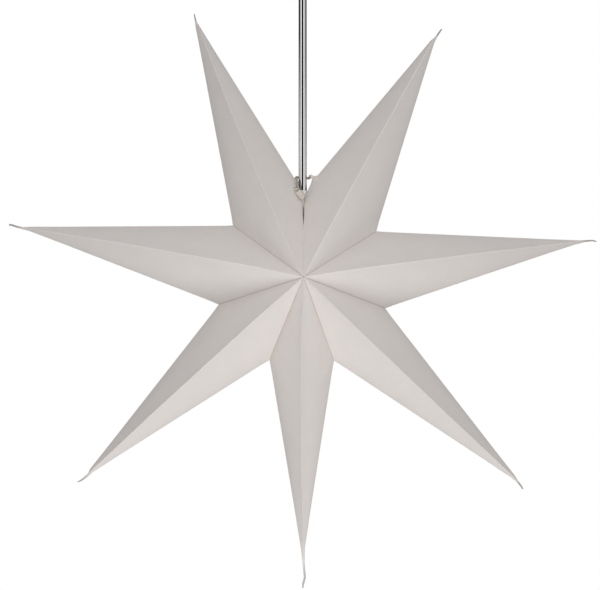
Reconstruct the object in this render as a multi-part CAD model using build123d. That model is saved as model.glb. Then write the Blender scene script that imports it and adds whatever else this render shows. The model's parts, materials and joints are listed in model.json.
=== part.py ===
from build123d import *
import math
import os

# A folded paper star lantern on a chrome stem, hung from the ceiling on a two-axis pivot.
# Millimetres, +Z up. The origin is the middle of the bracket's face against the ceiling.
# The star's front looks towards -Y.
# Angles round the star run clockwise from straight up, seen from the front.

# Star
STAR_DROP = 430.0  # ceiling to the star's middle
HALF_DEPTH = 90.0  # star's middle to its front or back peak
VALLEY_RADIUS = 104.0  # star's middle to the corners between the points
STAR_REACH = 330.0  # star's middle to the end of a point's cone
PAPER = 0.3  # thickness of the paper
STAR_TURN = 0.5  # turn of the whole star in its own plane, degrees
SLIT_ANGLE = 1.0  # opening of the slit in the top valley, degrees
TIP_TAPER = 10.0  # length of cone given up to the pinched tail

# Each point: name, spread and lean in degrees, length past STAR_REACH, length and curl of the tail.
POINTS = [
    ("upper_right", 56.7, -0.2, -4.0, 13.5, 9.0),
    ("right", 52.5, -1.1, 1.0, 20.0, 16.0),
    ("lower_right", 49.4, -1.2, 17.5, 13.0, 13.0),
    ("bottom", 43.1, -0.7, -6.0, 42.0, -3.0),
    ("lower_left", 50.7, 0.2, 13.0, 16.0, 12.0),
    ("left", 54.5, 0.2, 3.0, 20.0, 5.0),
    ("upper_left", 53.1, 3.5, -1.0, 10.5, 8.0),
]
TAIL_WIDTH = 2.4
TAIL_THICKNESS = 1.4
TAIL_END_WIDTH = 1.5
TAIL_END_THICKNESS = 0.9
TAIL_BEND = 0.55  # share of the tail that stays straight

# Glue tabs along the valley folds
TAB_START = 12.0  # from the peak along the fold
TAB_LENGTH = 70.0
TAB_WIDTH = 9.0

# Notch that lets the stem into the star
NOTCH_GAP = 4.7  # between the lampholder's neck and the fold where the cut starts
NOTCH_LEFT = 19.0  # lean of the left cut from upright, degrees
NOTCH_RIGHT = 24.0  # lean of the right cut from upright, degrees

# String tie round the stem, with its points measured from the foot of the notch
STRING_DIAMETER = 2.8
STRING_BEND = 0.45  # share of the shorter run that a bend takes up
STRING_HOLE = 4.2
LEFT_HOLE_RISE = 15.0  # above the notch's foot
RIGHT_HOLE_RISE = 26.0
STRING_HOLE_INSET = 5.0  # sideways from the notch's cut
STRING_LEFT = [(-13.2, -6.6, 15.2), (-10.1, -12.5, 15.0), (-8.4, -16.0, 14.6), (-6.2, -17.5, 13.0)]
STRING_RIGHT = [
    (-3.4, -15.4, 11.6),
    (-6.6, -10.5, 20.5),
    (-7.6, -5.5, 28.0),
    (-8.0, 1.5, 31.5),
    (-4.0, 8.3, 31.5),
    (4.8, 8.2, 31.0),
    (9.8, 1.0, 30.5),
    (13.2, -6.3, 31.5),
    (19.2, -1.6, 20.6),
]
KNOT_MIDDLE = (-4.2, -17.5, 10.5)
KNOT_AXIS = (0.62, 0.0, -0.78)
KNOT_TURNS = 4
KNOT_CORE = 2.7
STOP_TURNS = 2
STOP_CORE = 1.6

# Stem and the lead inside it
STEM_DIAMETER = 10.0
STEM_WALL = 1.0
STEM_ENGAGED = 12.0  # length screwed into the boss and into the lampholder's neck
THREAD_CLEARANCE = 0.05
LEAD_DIAMETER = 4.0
LEAD_CLEARANCE = 1.0
LEAD_GAP = 0.6  # from the pivot to the end of the lead on each side
LEAD_STRAIGHT = 12.4  # upright lead from that end to its bend
LEAD_BEND = 10.0

# Two-axis pivot
LEAD_SWING = 2.6  # room round the lead in the ring
RING_WALL = 4.4
RING_HEIGHT = 7.0
PIN_DIAMETER = 3.0
PIN_CLEARANCE = 0.05
PIN_SEAT_CLEARANCE = 0.01
YOKE_GAP = 0.4  # between the ring and a yoke arm
ARM_THICKNESS = 3.1
ARM_WIDTH = 10.0
YOKE_PLATE = 4.0
LOWER_DEPTH = 14.0  # pivot to the lower yoke's plate
BOSS_WALL = 2.45
BOSS_FLOOR = 2.0  # above the end of the stem
GRUB_DIAMETER = 3.0

# Ceiling set
SLOT_SPACING = 68.0
SLOT_WIDTH = 4.6
SLOT_LENGTH = 12.0
SLOT_MARGIN = 6.0  # from a slot to the bracket's end
BRACKET_ROOM = 1.0  # from the bracket's corners to the canopy's inside
BRACKET_WIDTH = 20.0
BRACKET_THICKNESS = 2.0
EAR_HEIGHT = 14.0
NUT_WALL = 1.95
NUT_HEIGHT = 4.0
CANOPY_BELOW_PIVOT = 10.0
CANOPY_WALL = 1.0
CANOPY_CEILING_GAP = 0.6
SWING_ROOM = 4.5  # from the hanging yoke to the canopy's opening
CANOPY_ROUND = 16.0
SCREW_DIAMETER = 3.4
SCREW_HEAD = 6.4
SCREW_HEAD_HEIGHT = 2.0
SCREW_CLEARANCE = 0.1
SCREW_REACH = 2.0  # past the ear's inner face
CONNECTOR_GAP = 6.0  # between the yoke and the connector
CONNECTOR_LENGTH = 14.0
CONNECTOR_WIDTH = 22.0
CONNECTOR_FLOOR = 4.0  # below the lead
CONNECTOR_ENTRY = 6.0  # length of lead inside the connector
CONNECTOR_ROUND = 1.2
TERMINAL_SPACING = 10.0
TERMINAL_HOLE = 6.0
TERMINAL_DEPTH = 1.5
TERMINAL_SCREW = 3.0
TERMINAL_SCREW_HEIGHT = 0.8

# Lampholder
SCREW_CONTACT_DIAMETER = 14.0
SCREW_CONTACT_WALL = 0.4
SCREW_CONTACT_LENGTH = 15.0
SHELF_WIDTH = 3.1  # ledge in the shell that the insert stands on
HOLDER_WALL = 1.6
HOLDER_LENGTH = 46.0  # shell below its cap
HOLDER_FIT = 0.05
SEAT_GAP = 0.3  # between the cap's cone and the paper that rests on it
NECK_WALL = 1.45
NECK_HEIGHT = 9.0
CAP_SKIRT = 12.0
CAP_ROOF = 2.0
SPIGOT_GAP = 2.0  # between the shell's spigot and the cap's roof
MOUTH_DEPTH = 1.5  # mouth to the screw contact
INSERT_HEIGHT = 14.0
MIDDLE_CONTACT_DIAMETER = 5.2
MIDDLE_CONTACT_HEIGHT = 1.0
CORE_DIAMETER = 1.6
CORE_GAP = 0.4
CORE_DEPTH = 6.0  # into the insert
CORE_CLEARANCE = 0.05

# Lamp
LAMP_SCREW_CLEARANCE = 0.1
LAMP_CONTACT_GAP = 0.3
LAMP_CONTACT_DIAMETER = 4.4
LAMP_CONTACT_HEIGHT = 1.2
INSULATOR_RIM = 0.6  # round the tip contact
INSULATOR_STEP = 1.1  # inside the screw cap's edge
INSULATOR_HEIGHT = 3.0
LAMP_MOUTH_GAP = 3.0  # between the lampholder's mouth and the collar
LAMP_COLLAR_TOP = 18.0
LAMP_COLLAR_BASE = 25.0
LAMP_COLLAR_HEIGHT = 14.0
GLOBE_DIAMETER = 45.0
GLOBE_NECK = 22.0
GLOBE_NECK_HEIGHT = 1.5
GLASS = 0.8
CARRIER_DIAMETER = 4.4
CARRIER_DISC = 15.0
CARRIER_DISC_THICKNESS = 0.8
CARRIER_TOP_GAP = 5.0  # glass rim to the upper disc
CARRIER_FOOT_GAP = 14.0  # lower disc to the globe's lowest point
FILAMENT_DIAMETER = 1.6
FILAMENT_INSET = 1.5  # from the disc's edge
FILAMENT_COUNT = 4

# Radii and lengths that several pieces share
THREAD_RADIUS = STEM_DIAMETER / 2 + THREAD_CLEARANCE
NECK_RADIUS = THREAD_RADIUS + NECK_WALL
BOSS_RADIUS = THREAD_RADIUS + BOSS_WALL
LEAD_PASSAGE = LEAD_DIAMETER / 2 + LEAD_CLEARANCE
RING_BORE = LEAD_DIAMETER / 2 + LEAD_SWING
RING_RADIUS = RING_BORE + RING_WALL
ARM_INSIDE = RING_RADIUS + YOKE_GAP
ARM_OUTSIDE = ARM_INSIDE + ARM_THICKNESS
OPENING_RADIUS = math.hypot(ARM_OUTSIDE, ARM_WIDTH / 2) + SWING_ROOM
BRACKET_LENGTH = SLOT_SPACING + SLOT_LENGTH + 2 * SLOT_MARGIN
CANOPY_RADIUS = math.hypot(BRACKET_LENGTH / 2, BRACKET_WIDTH / 2) + BRACKET_ROOM + CANOPY_WALL
CONNECTOR_NEAR = ARM_WIDTH / 2 + CONNECTOR_GAP
SHELL_BORE = SCREW_CONTACT_DIAMETER / 2 + SCREW_CONTACT_WALL + HOLDER_FIT
SPIGOT_BORE = SHELL_BORE + SHELF_WIDTH
HOLDER_RADIUS = SPIGOT_BORE + 2 * HOLDER_WALL + HOLDER_FIT
LAMP_SCREW_RADIUS = SCREW_CONTACT_DIAMETER / 2 - LAMP_SCREW_CLEARANCE

# Heights that several pieces share, measured from the ceiling
YOKE_TOP = -BRACKET_THICKNESS - NUT_HEIGHT
CONNECTOR_LEAD = YOKE_TOP - YOKE_PLATE - LEAD_CLEARANCE - LEAD_DIAMETER / 2
CONNECTOR_FOOT = CONNECTOR_LEAD - LEAD_DIAMETER / 2 - CONNECTOR_FLOOR
PIVOT_DROP = LEAD_GAP + LEAD_STRAIGHT + LEAD_BEND - CONNECTOR_LEAD
UPPER_DEPTH = PIVOT_DROP + YOKE_TOP - YOKE_PLATE
BOSS_TOP = -PIVOT_DROP - LOWER_DEPTH - YOKE_PLATE
STEM_TOP = BOSS_TOP - BOSS_FLOOR
BOSS_FOOT = STEM_TOP - STEM_ENGAGED
CANOPY_HEIGHT = PIVOT_DROP + CANOPY_BELOW_PIVOT
SCREW_HEIGHT = -(EAR_HEIGHT + BRACKET_THICKNESS) / 2

# Heights that several pieces share, measured from the star's middle
FOLD_SLOPE = HALF_DEPTH / VALLEY_RADIUS
SEAT_CLEARANCE = 2 * PAPER + SEAT_GAP
CAP_RIM = (HALF_DEPTH - HOLDER_RADIUS - SEAT_CLEARANCE) / FOLD_SLOPE
CONE_TOP = CAP_RIM + (HOLDER_RADIUS - NECK_RADIUS) / FOLD_SLOPE
NECK_TOP = CONE_TOP + NECK_HEIGHT
NOTCH_FOOT = (HALF_DEPTH - NECK_RADIUS - NOTCH_GAP) / FOLD_SLOPE
STEM_FOOT = NECK_TOP - STEM_ENGAGED
CAP_FOOT = CAP_RIM - CAP_SKIRT
CAP_CEILING = CAP_RIM - CAP_ROOF
SPIGOT_TOP = CAP_CEILING - SPIGOT_GAP
MOUTH = CAP_FOOT - HOLDER_LENGTH
SHELF = MOUTH + MOUTH_DEPTH + SCREW_CONTACT_LENGTH
INSERT_TOP = SHELF + INSERT_HEIGHT
LAMP_TOP = SHELF - MIDDLE_CONTACT_HEIGHT - LAMP_CONTACT_GAP
LAMP_SHOULDER = LAMP_TOP - LAMP_CONTACT_HEIGHT
LAMP_CAP_TOP = LAMP_SHOULDER - INSULATOR_HEIGHT
COLLAR_TOP = MOUTH - LAMP_MOUTH_GAP
GLASS_RIM = COLLAR_TOP - LAMP_COLLAR_HEIGHT
GLOBE_TOP = GLASS_RIM - GLOBE_NECK_HEIGHT
GLOBE_MIDDLE = GLOBE_TOP - math.sqrt((GLOBE_DIAMETER / 2) ** 2 - (GLOBE_NECK / 2) ** 2)
UPPER_DISC = GLASS_RIM - CARRIER_TOP_GAP
LOWER_DISC = GLOBE_MIDDLE - GLOBE_DIAMETER / 2 + CARRIER_FOOT_GAP


def at_star(shape):
    """Moves a shape made round the star's middle to its place under the ceiling."""
    return Pos(0, 0, -STAR_DROP) * shape


def at_notch(shapes):
    """Moves shapes made round the notch's foot to it, from the star's middle."""
    return [Pos(0, 0, NOTCH_FOOT) * shape for shape in shapes]


def turned(*profile):
    """Solid of revolution about the stem's axis from (radius, height) corners."""
    outline = Polyline(*[(radius, 0, height) for radius, height in profile], close=True)
    return revolve(make_face(outline), Axis.Z)


def rod(diameter, low, high):
    """Upright cylinder between two heights."""
    return Pos(0, 0, (low + high) / 2) * Cylinder(diameter / 2, high - low)


def sideways_rod(diameter, near, far):
    """Cylinder along +X between two distances from the stem's axis."""
    return Pos((near + far) / 2, 0, 0) * Rot(0, 90, 0) * Cylinder(diameter / 2, far - near)


def both_sides(shape):
    """A shape and its copy half a turn round the stem's axis."""
    return [shape, Rot(0, 0, 180) * shape]


def ray(angle):
    """Direction in the star's plane at an angle clockwise from straight up."""
    return Vector(math.sin(math.radians(angle)), 0, math.cos(math.radians(angle)))


def faceted(outer, inner):
    """Closed solid with flat sides between two outlines of as many corners."""
    count = len(outer)
    loops = [outer, inner]
    for i in range(count):
        following = (i + 1) % count
        loops.append([outer[i], outer[following], inner[following], inner[i]])
    return Solid(Shell([Face(Wire.make_polygon(loop)) for loop in loops]))


def sheet_corners(face, tip, apex, valley):
    """Outer and inner corners of a panel at its peak, tip and valley, and its outward normal."""
    rays = [Vector(0, face, 0), ray(tip), ray(valley)]
    outer = [rays[0] * HALF_DEPTH, rays[1] * apex, rays[2] * VALLEY_RADIUS]
    normal = (outer[1] - outer[0]).cross(outer[2] - outer[0]).normalized()
    if normal.dot(rays[0]) < 0:
        normal = -normal
    inner = [corner - way * (PAPER / normal.dot(way)) for corner, way in zip(outer, rays)]
    return outer, inner, normal


def glue_tab(inner, valley, side):
    """Tab folded inwards along a panel's valley, flat against the valley's plane."""
    along = (inner[2] - inner[0]).normalized()
    across = ray(valley + 90)
    inward = across.cross(along)
    if inward.dot(inner[0]) > 0:
        inward = -inward
    start = inner[0] + along * TAB_START
    end = start + along * TAB_LENGTH
    outline = [
        start,
        end,
        end + (inward - along) * TAB_WIDTH,
        start + (inward + along) * TAB_WIDTH,
    ]
    return faceted(outline, [corner + across * (side * PAPER) for corner in outline])


def notch_lean(side):
    """Lean of the notch's cut on the right, side 1, or on the left, side -1."""
    return math.radians(NOTCH_RIGHT if side == 1 else NOTCH_LEFT)


def notch_cut(panel, side):
    """A panel beside the slit with its top corner cut away for the stem."""
    lean = notch_lean(side)
    away = (-side * math.cos(lean), 0, math.sin(lean))
    return panel.split(Plane((0, 0, NOTCH_FOOT), z_dir=away), keep=Keep.BOTTOM)


def string_hole(panel, outer, normal, side):
    """A notched panel with the hole that the string passes through."""
    rise = RIGHT_HOLE_RISE if side == 1 else LEFT_HOLE_RISE
    beside = rise * math.tan(notch_lean(side))
    spot = Vector(side * (beside + STRING_HOLE_INSET), 0, NOTCH_FOOT + rise)
    depth = (outer[0] - spot).dot(normal) / normal.Y
    drill = Plane(spot + Vector(0, depth, 0), z_dir=normal) * Cylinder(STRING_HOLE / 2, STRING_HOLE)
    return (panel - drill).solid()


def side_fold(valley, way, apex, reach):
    """Point of a side fold, from a valley's corner to the tip, where the cone ends."""
    corner = ray(valley) * VALLEY_RADIUS
    start = corner.dot(way)
    return corner + (way * apex - corner) * ((reach - start) / (apex - start))


def tail(tip, apex, reach, valleys, length, curl):
    """Pinched end of a point, bent a little to one side."""
    way = ray(tip)
    depth = Vector(0, HALF_DEPTH * (1 - reach / apex), 0)
    left, right = [side_fold(valley, way, apex, reach) for valley in valleys]
    root = [way * reach - depth, right, way * reach + depth, left]
    knee = way * (reach + length * TAIL_BEND)
    end = knee + ray(tip + curl) * (length * (1 - TAIL_BEND))
    sections = [root]
    for middle, angle, width, thickness in (
        (knee, tip + curl / 2, TAIL_WIDTH, TAIL_THICKNESS),
        (end, tip + curl, TAIL_END_WIDTH, TAIL_END_THICKNESS),
    ):
        across = ray(angle + 90) * (width / 2)
        upright = Vector(0, thickness / 2, 0)
        sections.append([middle - upright, middle + across, middle + upright, middle - across])
    return Solid.make_loft([Wire.make_polygon(section) for section in sections], ruled=True)


def star_point(valleys, tip, reach, length, curl, open_side):
    """One folded point: four panels, their glue tabs and the tail. open_side is 1 or -1 beside the slit."""
    apex = reach + TIP_TAPER
    solids = [tail(tip, apex, reach, valleys, length, curl)]
    for face in (-1, 1):
        for valley, side in ((valleys[0], 1), (valleys[1], -1)):
            outer, inner, normal = sheet_corners(face, tip, apex, valley)
            panel = faceted(outer, inner)
            panel = panel.split(Plane(ray(tip) * reach, z_dir=ray(tip)), keep=Keep.BOTTOM)
            if side == open_side:
                panel = notch_cut(panel, side)
                if face == -1:
                    panel = string_hole(panel, outer, normal, side)
            solids.append(panel)
            solids.append(glue_tab(inner, valley, side))
    return solids


def star_points():
    """The seven points in order round the star, by name."""
    scale = 360 / sum(spread for _, spread, *_ in POINTS)
    last = len(POINTS) - 1
    valley = STAR_TURN
    made = {}
    for i, (name, spread, lean, extra, length, curl) in enumerate(POINTS):
        tip = valley + spread * scale / 2 + lean
        left = valley + (SLIT_ANGLE / 2 if i == 0 else 0)
        valley += spread * scale
        right = valley - (SLIT_ANGLE / 2 if i == last else 0)
        open_side = {0: 1, last: -1}.get(i, 0)
        reach = STAR_REACH + extra
        made["star_point_" + name] = star_point((left, right), tip, reach, length, curl, open_side)
    return made


def string(points):
    """Limp string through hand-chosen points, with its bends as large as its runs allow."""
    points = [Vector(*point) for point in points]
    radii = []
    for before, here, after in zip(points, points[1:], points[2:]):
        turn = (here - before).get_angle(after - here)
        shorter = min((here - before).length, (after - here).length)
        radii.append(STRING_BEND * shorter / math.tan(math.radians(turn / 2)))
    path = FilletPolyline(*points, radius=radii)
    print("string length", round(path.length, 1), "bend radii", [round(radius, 1) for radius in radii])
    section = Plane(path @ 0, z_dir=path % 0) * Circle(STRING_DIAMETER / 2)
    return sweep(section, path=path)


def barrel_knot(middle, axis, core, turns):
    """Wrapped knot: a few turns of string side by side round a core."""
    half = turns * STRING_DIAMETER / 2
    outline = Polyline((0, 0, half), (0, 0, -half), (core, 0, -half))
    for i in range(turns):
        foot = -half + i * STRING_DIAMETER
        crest = (core + STRING_DIAMETER / 2, 0, foot + STRING_DIAMETER / 2)
        outline += ThreePointArc((core, 0, foot), crest, (core, 0, foot + STRING_DIAMETER))
    outline += Line((core, 0, half), (0, 0, half))
    return Plane(middle, z_dir=axis) * revolve(make_face(outline), Axis.Z)


def tie_stops():
    """Small knots on the two inner ends of the string."""
    stops = []
    for end, before in ((STRING_LEFT[0], STRING_LEFT[1]), (STRING_RIGHT[-1], STRING_RIGHT[-2])):
        axis = Vector(*end) - Vector(*before)
        stops.append(barrel_knot(end, axis, STOP_CORE, STOP_TURNS))
    return stops


def stem():
    """Chrome tube from the lower yoke's boss to the lampholder's neck."""
    foot = STEM_FOOT - STAR_DROP
    return rod(STEM_DIAMETER, foot, STEM_TOP) - rod(STEM_DIAMETER - 2 * STEM_WALL, foot, STEM_TOP)


def fork(depth):
    """Two arms on a plate, with the pin holes at the middle of the frame and the plate above it."""
    arm = Pos((ARM_INSIDE + ARM_OUTSIDE) / 2, 0, depth / 2) * Box(ARM_THICKNESS, ARM_WIDTH, depth)
    arm += sideways_rod(ARM_WIDTH, ARM_INSIDE, ARM_OUTSIDE)
    arm -= sideways_rod(PIN_DIAMETER + 2 * PIN_SEAT_CLEARANCE, ARM_INSIDE, ARM_OUTSIDE)
    plate = Pos(0, 0, depth + YOKE_PLATE / 2) * Box(2 * ARM_OUTSIDE, ARM_WIDTH, YOKE_PLATE)
    return plate + both_sides(arm)


def pins():
    """Pair of pivot pins along X, from inside the ring to the outside of the yoke's arms."""
    return both_sides(sideways_rod(PIN_DIAMETER, RING_BORE + PIN_CLEARANCE, ARM_OUTSIDE))


def at_pivot(shapes, turn):
    """Moves shapes made round the pivot to it, turned about the upright axis."""
    return [Pos(0, 0, -PIVOT_DROP) * Rot(0, 0, turn) * shape for shape in shapes]


def upper_yoke():
    """Fork that hangs from the bracket by its threaded stud."""
    stud = rod(STEM_DIAMETER, YOKE_TOP, 0)
    return at_pivot([fork(UPPER_DEPTH)], 90)[0] + stud


def gimbal_ring():
    """Ring between the yokes, bored for the lead and for both pairs of pins."""
    ring = Cylinder(RING_RADIUS, RING_HEIGHT) - Cylinder(RING_BORE, RING_HEIGHT)
    hole = sideways_rod(PIN_DIAMETER + 2 * PIN_CLEARANCE, -2 * RING_RADIUS, 2 * RING_RADIUS)
    return at_pivot([ring - hole - Rot(0, 0, 90) * hole], 0)[0]


def backward_rod(diameter, near, far, height):
    """Cylinder along +Y at a height, between two distances from the stem's axis."""
    return Pos(0, 0, height) * Rot(0, 0, 90) * sideways_rod(diameter, near, far)


def grub_hole(outside, height):
    """Threaded hole for a grub screw, from the stem outwards."""
    return backward_rod(GRUB_DIAMETER + 2 * PIN_SEAT_CLEARANCE, STEM_DIAMETER / 2, 2 * outside, height)


def lower_yoke():
    """Fork under the ring, with the boss that the stem screws into."""
    body = at_pivot([Rot(180, 0, 0) * fork(LOWER_DEPTH)], 0)[0]
    body += rod(2 * BOSS_RADIUS, BOSS_FOOT, BOSS_TOP)
    body -= rod(2 * THREAD_RADIUS, BOSS_FOOT, STEM_TOP)
    body -= rod(2 * LEAD_PASSAGE, STEM_TOP, BOSS_TOP + YOKE_PLATE)
    return body - grub_hole(BOSS_RADIUS, BOSS_FOOT + STEM_ENGAGED / 2)


def grub_screws():
    """Screws that lock the stem in the boss and in the lampholder's neck."""
    in_boss = BOSS_FOOT + STEM_ENGAGED / 2
    in_neck = NECK_TOP - NECK_HEIGHT / 2 - STAR_DROP
    return [
        backward_rod(GRUB_DIAMETER, THREAD_RADIUS, BOSS_RADIUS, in_boss),
        backward_rod(GRUB_DIAMETER, THREAD_RADIUS, NECK_RADIUS, in_neck),
    ]


def ceiling_bracket():
    """Steel strap against the ceiling, its ends bent down for the canopy's screws."""
    strap = Pos(0, 0, -BRACKET_THICKNESS / 2) * Box(BRACKET_LENGTH, BRACKET_WIDTH, BRACKET_THICKNESS)
    middle = (BRACKET_LENGTH - BRACKET_THICKNESS) / 2
    ear = Pos(middle, 0, -EAR_HEIGHT / 2) * Box(BRACKET_THICKNESS, BRACKET_WIDTH, EAR_HEIGHT)
    hole = SCREW_DIAMETER + 2 * PIN_SEAT_CLEARANCE
    drill = sideways_rod(hole, middle - BRACKET_THICKNESS, middle + BRACKET_THICKNESS)
    slot = extrude(SlotOverall(SLOT_LENGTH, SLOT_WIDTH), BRACKET_THICKNESS, both=True)
    body = strap + both_sides(ear)
    body -= both_sides(Pos(0, 0, SCREW_HEIGHT) * drill)
    body -= both_sides(Pos(SLOT_SPACING / 2, 0, 0) * slot)
    return body - rod(2 * THREAD_RADIUS, -BRACKET_THICKNESS, 0)


def bracket_nut():
    """Lock nut between the bracket and the upper yoke."""
    nut = extrude(RegularPolygon(THREAD_RADIUS + NUT_WALL, 6, major_radius=False), NUT_HEIGHT)
    return Pos(0, 0, YOKE_TOP) * (nut - rod(2 * THREAD_RADIUS, 0, NUT_HEIGHT))


def canopy_outline(inset):
    """Half section of the canopy, inset from its outer face, from the rim to the opening."""
    side = CANOPY_RADIUS - inset
    floor = -CANOPY_HEIGHT + inset
    turn = -CANOPY_HEIGHT + CANOPY_ROUND
    inner = CANOPY_RADIUS - CANOPY_ROUND
    bow = (CANOPY_ROUND - inset) * math.sqrt(0.5)
    return [
        Line((side, 0, -CANOPY_CEILING_GAP), (side, 0, turn)),
        ThreePointArc((side, 0, turn), (inner + bow, 0, turn - bow), (inner, 0, floor)),
        Line((inner, 0, floor), (OPENING_RADIUS, 0, floor)),
    ]


def canopy():
    """Spun chrome cup that covers the bracket, open below for the swinging stem."""
    outer = canopy_outline(0)
    inner = canopy_outline(CANOPY_WALL)
    rim = Line(outer[0] @ 0, inner[0] @ 0)
    lip = Line(outer[2] @ 1, inner[2] @ 1)
    cup = revolve(make_face([*outer, *inner, rim, lip]), Axis.Z)
    hole = SCREW_DIAMETER + 2 * SCREW_CLEARANCE
    drill = sideways_rod(hole, CANOPY_RADIUS - 2 * CANOPY_WALL, CANOPY_RADIUS + CANOPY_WALL)
    return cup - both_sides(Pos(0, 0, SCREW_HEIGHT) * drill)


def canopy_screws():
    """Screws through the canopy's wall into the bracket's ears."""
    under = CANOPY_RADIUS + SCREW_CLEARANCE
    tip = BRACKET_LENGTH / 2 - BRACKET_THICKNESS - SCREW_REACH
    screw = sideways_rod(SCREW_DIAMETER, tip, under)
    screw += sideways_rod(SCREW_HEAD, under, under + SCREW_HEAD_HEIGHT)
    return both_sides(Pos(0, 0, SCREW_HEIGHT) * screw)


def wire_connector():
    """Moulded connector under the bracket, where the lead ends."""
    height = -BRACKET_THICKNESS - CONNECTOR_FOOT
    block = Box(CONNECTOR_LENGTH, CONNECTOR_WIDTH, height)
    block = fillet(block.edges().filter_by(Axis.Z), CONNECTOR_ROUND)
    block = Pos(CONNECTOR_NEAR + CONNECTOR_LENGTH / 2, 0, CONNECTOR_FOOT + height / 2) * block
    hole = LEAD_DIAMETER + 2 * CORE_CLEARANCE
    entry = sideways_rod(hole, CONNECTOR_NEAR, CONNECTOR_NEAR + CONNECTOR_ENTRY)
    block -= Pos(0, 0, CONNECTOR_LEAD) * entry
    return block - at_terminals(rod(TERMINAL_HOLE, 0, TERMINAL_DEPTH))


def at_terminals(shape):
    """Copies of a shape at the two terminals on the connector's lower face."""
    middle = CONNECTOR_NEAR + CONNECTOR_LENGTH / 2
    return [Pos(middle, side * TERMINAL_SPACING / 2, CONNECTOR_FOOT) * shape for side in (-1, 1)]


def connector_screws():
    """Terminal screws sunk in the connector's lower face."""
    return at_terminals(rod(TERMINAL_SCREW, TERMINAL_DEPTH - TERMINAL_SCREW_HEIGHT, TERMINAL_DEPTH))


def ceiling_lead():
    """Lead from the connector down to the pivot."""
    points = [
        (0, 0, LEAD_GAP - PIVOT_DROP),
        (0, 0, CONNECTOR_LEAD),
        (CONNECTOR_NEAR + CONNECTOR_ENTRY, 0, CONNECTOR_LEAD),
    ]
    path = FilletPolyline(*points, radius=LEAD_BEND)
    return sweep(Plane(path @ 0, z_dir=path % 0) * Circle(LEAD_DIAMETER / 2), path=path)


def lead_cores():
    """The lead's two cores from its end to the insert."""
    return at_cores(rod(CORE_DIAMETER, INSERT_TOP - CORE_DEPTH, SPIGOT_TOP))


def at_cores(shape):
    """Copies of a shape at the lead's two cores."""
    return both_sides(Pos((CORE_DIAMETER + CORE_GAP) / 2, 0, 0) * shape)


def holder_cap():
    """Lampholder cap: the star's paper rests on its cone, and its neck holds the stem."""
    cap = turned(
        (THREAD_RADIUS, NECK_TOP),
        (NECK_RADIUS, NECK_TOP),
        (NECK_RADIUS, CONE_TOP),
        (HOLDER_RADIUS, CAP_RIM),
        (HOLDER_RADIUS, CAP_FOOT),
        (HOLDER_RADIUS - HOLDER_WALL, CAP_FOOT),
        (HOLDER_RADIUS - HOLDER_WALL, CAP_CEILING),
        (LEAD_PASSAGE, CAP_CEILING),
        (LEAD_PASSAGE, STEM_FOOT),
        (THREAD_RADIUS, STEM_FOOT),
    )
    return cap - grub_hole(NECK_RADIUS, NECK_TOP - NECK_HEIGHT / 2)


def holder_shell():
    """Lampholder shell, its spigot inside the cap and its bore round the screw contact."""
    spigot = SPIGOT_BORE + HOLDER_WALL
    return turned(
        (SHELL_BORE, MOUTH),
        (HOLDER_RADIUS, MOUTH),
        (HOLDER_RADIUS, CAP_FOOT),
        (spigot, CAP_FOOT),
        (spigot, SPIGOT_TOP),
        (SPIGOT_BORE, SPIGOT_TOP),
        (SPIGOT_BORE, SHELF),
        (SHELL_BORE, SHELF),
    )


def holder_insert():
    """Insulating insert on the shell's shelf, drilled for the two cores."""
    insert = rod(2 * (SPIGOT_BORE - HOLDER_FIT), SHELF, INSERT_TOP)
    return insert - at_cores(rod(CORE_DIAMETER + 2 * CORE_CLEARANCE, INSERT_TOP - CORE_DEPTH, INSERT_TOP))


def holder_screw_contact():
    """Sleeve that takes the lamp's screw cap."""
    inside = SCREW_CONTACT_DIAMETER
    sleeve = rod(inside + 2 * SCREW_CONTACT_WALL, SHELF - SCREW_CONTACT_LENGTH, SHELF)
    return sleeve - rod(inside, SHELF - SCREW_CONTACT_LENGTH, SHELF)


def lamp_glass():
    """Globe of the lamp, open at its neck."""
    shells = []
    for inset in (0, GLASS):
        radius = GLOBE_DIAMETER / 2 - inset
        neck = GLOBE_NECK / 2 - inset
        joint = GLOBE_MIDDLE + math.sqrt(radius**2 - neck**2)
        foot = GLOBE_MIDDLE - radius
        outline = [
            Line((0, 0, GLASS_RIM), (neck, 0, GLASS_RIM)),
            Line((neck, 0, GLASS_RIM), (neck, 0, joint)),
            ThreePointArc((neck, 0, joint), (radius, 0, GLOBE_MIDDLE), (0, 0, foot)),
            Line((0, 0, foot), (0, 0, GLASS_RIM)),
        ]
        shells.append(revolve(make_face(outline), Axis.Z))
    return shells[0] - shells[1]


def lamp_carrier():
    """Glass stem inside the globe, with the two discs that hold the filaments."""
    column = rod(CARRIER_DIAMETER, LOWER_DISC, GLASS_RIM)
    column += rod(CARRIER_DISC, UPPER_DISC - CARRIER_DISC_THICKNESS, UPPER_DISC)
    column += rod(CARRIER_DISC, LOWER_DISC, LOWER_DISC + CARRIER_DISC_THICKNESS)
    return column


def lamp_filaments():
    """Filaments upright between the carrier's discs."""
    low = LOWER_DISC + CARRIER_DISC_THICKNESS
    filament = rod(FILAMENT_DIAMETER, low, UPPER_DISC - CARRIER_DISC_THICKNESS)
    circle = CARRIER_DISC / 2 - FILAMENT_INSET
    return [spot * filament for spot in PolarLocations(circle, FILAMENT_COUNT)]


def lamp_collar():
    """Tapered collar between the screw cap and the glass."""
    return turned(
        (0, COLLAR_TOP),
        (LAMP_COLLAR_TOP / 2, COLLAR_TOP),
        (LAMP_COLLAR_BASE / 2, GLASS_RIM),
        (0, GLASS_RIM),
    )


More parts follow.
